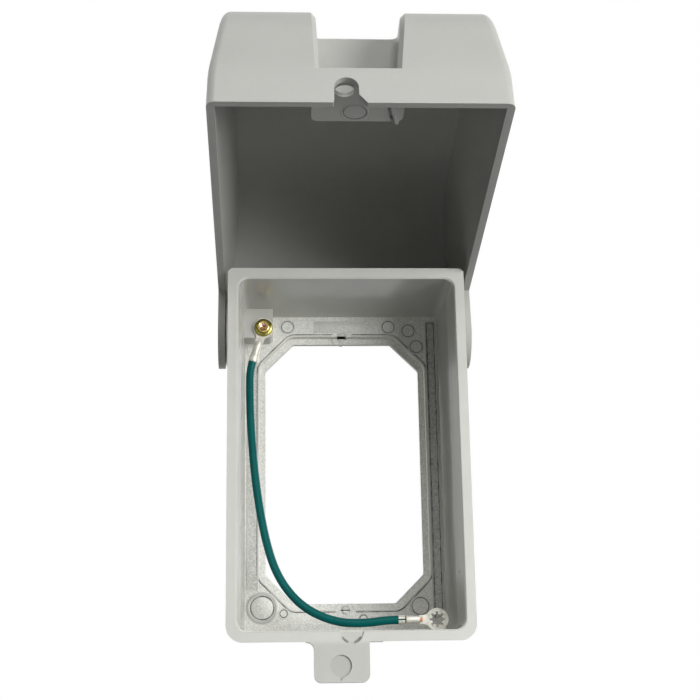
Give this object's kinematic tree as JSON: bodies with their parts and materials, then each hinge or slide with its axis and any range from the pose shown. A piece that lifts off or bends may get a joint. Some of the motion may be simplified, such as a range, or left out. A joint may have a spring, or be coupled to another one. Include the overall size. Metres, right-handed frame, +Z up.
{
  "type": "weatherproof outlet cover",
  "caption": "Weatherproof in-use outlet cover with a deep hinged hood, a padlock pocket, a cast frame and a grounding lead.",
  "frame": {"origin": "on the wall plane, at the centre of the two mounting screw holes", "axes": "+Z up, +Y into the wall, so that the cover faces -Y, and +X to the viewer's right"},
  "size_m": [0.0742, 0.1225, 0.1619],
  "materials": {
    "casting": "die cast, coarse matte",
    "foam": "foam",
    "pin_steel": "plain",
    "screw": "yellow zinc plated",
    "terminal": "tinned",
    "insulation": "smooth",
    "copper": "bare strands"
  },
  "bodies": {
    "frame": {"base_frame": "casting", "wall_gasket": "foam", "hinge_pin_left": "pin_steel", "hinge_pin_right": "pin_steel", "ground_screw": "screw", "ring_terminal_fixed": "terminal", "ring_terminal_free": "terminal", "ground_wire": "insulation", "wire_strands_fixed": "copper", "wire_strands_free": "copper"},
    "hood": {"cover_hood": "casting"}
  },
  "joints": [
    {"name": "hood_hinge", "type": "hinge", "parent": "frame", "child": "hood", "pos_m": [0, -0.02065, 0.03727], "axis": [-1, 0, 0], "range_deg": [-99.42, 0]}
  ]
}
